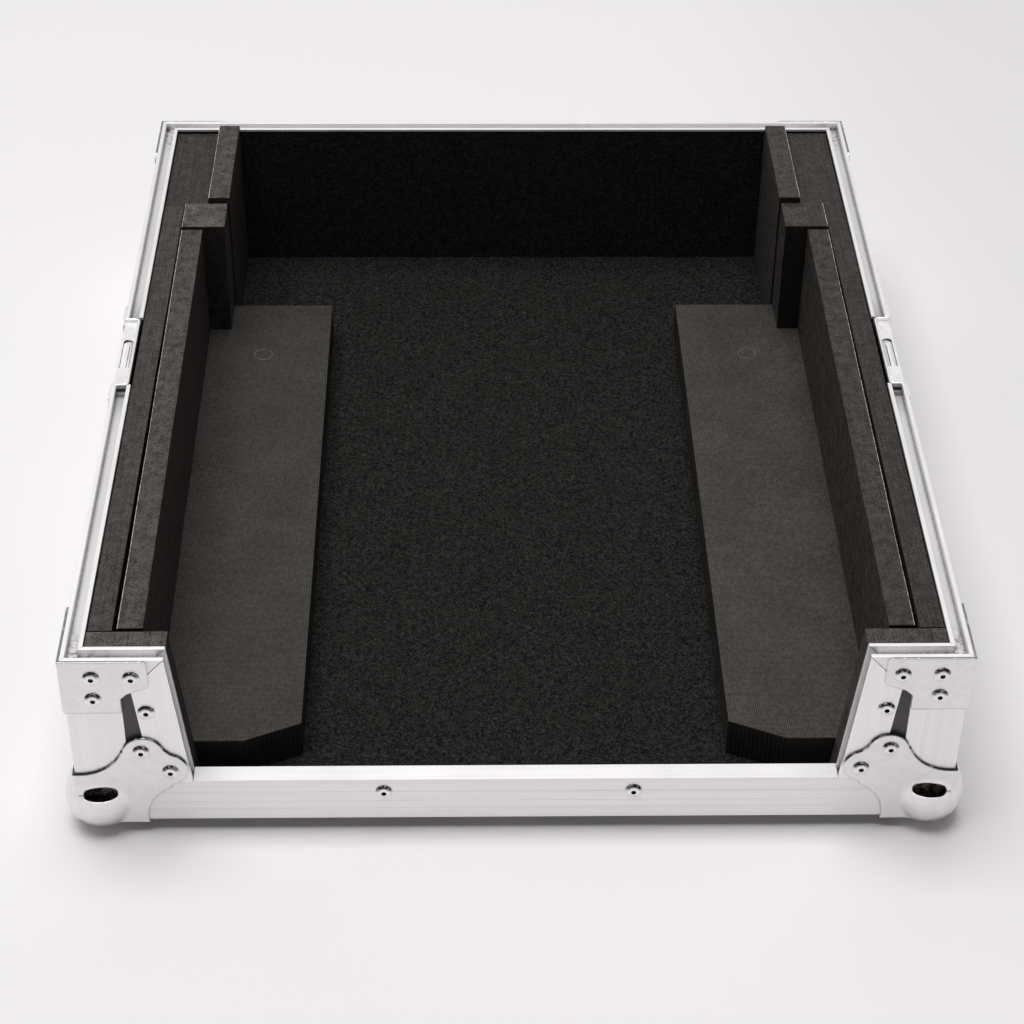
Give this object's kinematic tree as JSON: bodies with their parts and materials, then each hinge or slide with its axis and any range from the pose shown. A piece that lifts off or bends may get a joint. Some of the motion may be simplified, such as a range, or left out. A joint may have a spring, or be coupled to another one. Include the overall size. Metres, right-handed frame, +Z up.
{
  "type": "mixer flight case base",
  "caption": "Open base half of a flight case for a mixer: aluminium edged tray with ball corners, a low front opening, and foam risers, side pads and posts.",
  "frame": {"origin": "on the floor under the middle of the case's bounding box, between the four ball corners", "axes": "+X to the right, +Y from the low front opening to the back wall, +Z up"},
  "size_m": [0.425, 0.503, 0.1105],
  "materials": {
    "laminate": "satin",
    "felt": "matte",
    "aluminium": "satin",
    "steel": "satin",
    "rivets": "satin",
    "foam": "matte",
    "riser_foam": "matte"
  },
  "bodies": {
    "case": {"bottom_panel": "laminate", "left_panel": "laminate", "right_panel": "laminate", "back_panel": "laminate", "front_panel": "laminate", "floor_felt": "felt", "back_felt": "felt", "left_felt": "felt", "right_felt": "felt", "front_felt": "felt", "rim_left_front": "aluminium", "rim_left_rear": "aluminium", "rim_right_front": "aluminium", "rim_right_rear": "aluminium", "rim_back": "aluminium", "rim_cheek_left": "aluminium", "rim_cheek_right": "aluminium", "slant_edge_left": "aluminium", "slant_edge_right": "aluminium", "sill_cap": "aluminium", "corner_edge_front_left": "aluminium", "corner_edge_front_right": "aluminium", "corner_edge_back_left": "aluminium", "corner_edge_back_right": "aluminium", "bottom_edge_front": "aluminium", "bottom_edge_back": "aluminium", "bottom_edge_left": "aluminium", "bottom_edge_right": "aluminium", "ball_corner_front_left": "steel", "ball_corner_front_right": "steel", "ball_corner_back_left": "steel", "ball_corner_back_right": "steel", "corner_brace_front_left": "steel", "corner_brace_front_right": "steel", "corner_brace_back_left": "steel", "corner_brace_back_right": "steel", "latch_dish_left": "steel", "latch_dish_right": "steel", "latch_keeper_left": "steel", "latch_keeper_right": "steel", "front_block_left": "foam", "front_block_right": "foam", "side_strip_left": "foam", "side_strip_right": "foam", "rear_block_left": "foam", "rear_block_right": "foam", "riser_left": "riser_foam", "riser_right": "riser_foam", "front_rivets": "rivets", "back_rivets": "rivets", "left_rivets": "rivets", "right_rivets": "rivets", "bottom_rivets": "rivets"},
    "left_pad": {"side_pad_left": "foam"},
    "right_pad": {"side_pad_right": "foam"},
    "left_post": {"post_left": "foam"},
    "right_post": {"post_right": "foam"},
    "left_rear_strip": {"rear_strip_left": "foam"},
    "right_rear_strip": {"rear_strip_right": "foam"}
  },
  "joints": [
    {"name": "left_pad_lift", "type": "slide", "parent": "case", "child": "left_pad", "axis": [0, 0, 1], "range_m": [0, 0.075]},
    {"name": "right_pad_lift", "type": "slide", "parent": "case", "child": "right_pad", "axis": [0, 0, 1], "range_m": [0, 0.075]},
    {"name": "left_post_lift", "type": "slide", "parent": "case", "child": "left_post", "axis": [0, 0, 1], "range_m": [0, 0.075]},
    {"name": "right_post_lift", "type": "slide", "parent": "case", "child": "right_post", "axis": [0, 0, 1], "range_m": [0, 0.075]},
    {"name": "left_rear_strip_lift", "type": "slide", "parent": "case", "child": "left_rear_strip", "axis": [0, 0, 1], "range_m": [0, 0.1]},
    {"name": "right_rear_strip_lift", "type": "slide", "parent": "case", "child": "right_rear_strip", "axis": [0, 0, 1], "range_m": [0, 0.1]}
  ]
}
